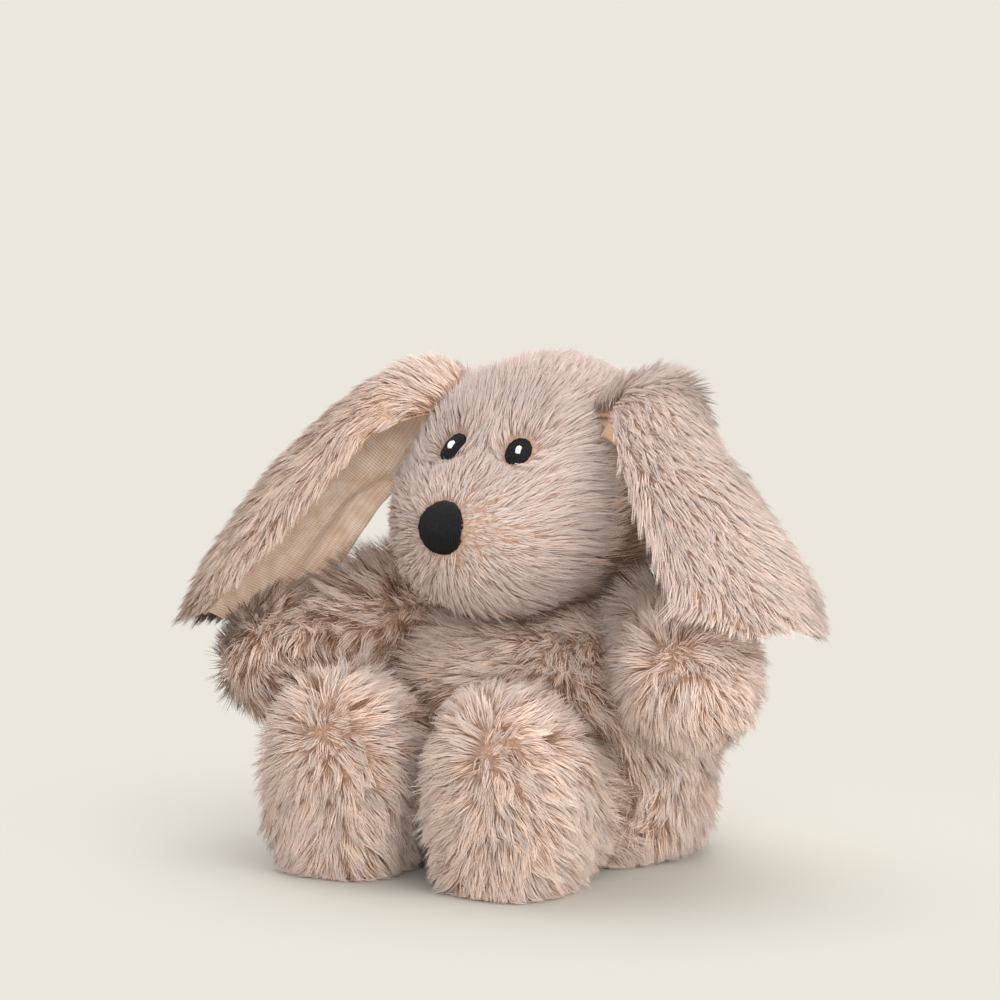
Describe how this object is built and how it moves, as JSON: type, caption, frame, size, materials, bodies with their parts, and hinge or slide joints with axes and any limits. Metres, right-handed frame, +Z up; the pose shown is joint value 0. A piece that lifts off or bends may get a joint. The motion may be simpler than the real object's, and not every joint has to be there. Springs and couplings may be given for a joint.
{
  "type": "plush dog",
  "caption": "Seated long-pile plush dog with big hanging lined ears, stuffed arms and upright feet hinged at their seams, an embroidered face and a weighted seat.",
  "frame": {"origin": "on the floor in the middle of the flat seat", "axes": "+Z up, the dog faces -Y, +X is the dog's left side"},
  "size_m": [0.2933, 0.187, 0.2036],
  "materials": {
    "plush": "long-pile plush",
    "stuffing": "polyester fibre fill",
    "bean_bag": "cloth pouch of plastic beans",
    "lining": "woven cloth",
    "black_thread": "satin stitch",
    "white_thread": "satin stitch"
  },
  "bodies": {
    "torso": {"torso_cover": "plush", "chest_stuffing": "stuffing", "seat_bean_bag": "bean_bag"},
    "neck": {"neck_stuffing": "stuffing"},
    "head": {"head_cover": "plush", "head_stuffing": "stuffing", "nose": "black_thread", "eye_left": "black_thread", "eye_right": "black_thread", "eye_glint_left": "white_thread", "eye_glint_right": "white_thread"},
    "ear_left": {"ear_left_fur": "plush", "ear_left_lining": "lining"},
    "ear_right": {"ear_right_fur": "plush", "ear_right_lining": "lining"},
    "arm_left": {"arm_left_cover": "plush", "arm_left_stuffing": "stuffing"},
    "arm_right": {"arm_right_cover": "plush", "arm_right_stuffing": "stuffing"},
    "leg_left": {"leg_left_cover": "plush", "leg_left_stuffing": "stuffing"},
    "leg_right": {"leg_right_cover": "plush", "leg_right_stuffing": "stuffing"},
    "tail": {"tail_cover": "plush", "tail_stuffing": "stuffing"}
  },
  "joints": [
    {"name": "neck_turn", "type": "hinge", "parent": "torso", "child": "neck", "pos_m": [0, 0.004, 0.095], "axis": [0, 0, 1], "range_deg": [-15, 15], "stiffness_Nm_per_rad": 1},
    {"name": "head_nod", "type": "hinge", "parent": "neck", "child": "head", "pos_m": [0, 0.004, 0.095], "axis": [1, 0, 0], "range_deg": [-10, 10], "stiffness_Nm_per_rad": 1.5},
    {"name": "ear_left_lift", "type": "hinge", "parent": "head", "child": "ear_left", "pos_m": [0.039, -0.007, 0.19], "axis": [-0.1012, -0.9868, -0.1265], "range_deg": [0, 75]},
    {"name": "arm_left_swing", "type": "hinge", "parent": "torso", "child": "arm_left", "pos_m": [0.056, 0.008, 0.091], "axis": [-0.715, -0.4514, -0.5338], "range_deg": [-12, 15], "stiffness_Nm_per_rad": 0.6},
    {"name": "leg_left_splay", "type": "hinge", "parent": "torso", "child": "leg_left", "pos_m": [0.034, -0.038, 0.033], "axis": [0, 0, 1], "range_deg": [0, 20], "stiffness_Nm_per_rad": 0.6},
    {"name": "ear_right_lift", "type": "hinge", "parent": "head", "child": "ear_right", "pos_m": [-0.039, -0.007, 0.19], "axis": [-0.1012, 0.9868, 0.1265], "range_deg": [0, 75]},
    {"name": "arm_right_swing", "type": "hinge", "parent": "torso", "child": "arm_right", "pos_m": [-0.056, 0.008, 0.091], "axis": [-0.7241, 0.4415, 0.5298], "range_deg": [-12, 15], "stiffness_Nm_per_rad": 0.6},
    {"name": "leg_right_splay", "type": "hinge", "parent": "torso", "child": "leg_right", "pos_m": [-0.045, -0.038, 0.033], "axis": [0, 0, -1], "range_deg": [0, 20], "stiffness_Nm_per_rad": 0.6},
    {"name": "tail_wag", "type": "hinge", "parent": "torso", "child": "tail", "pos_m": [0, 0.05, 0.026], "axis": [0, 0, 1], "range_deg": [-25, 25], "stiffness_Nm_per_rad": 0.1}
  ]
}
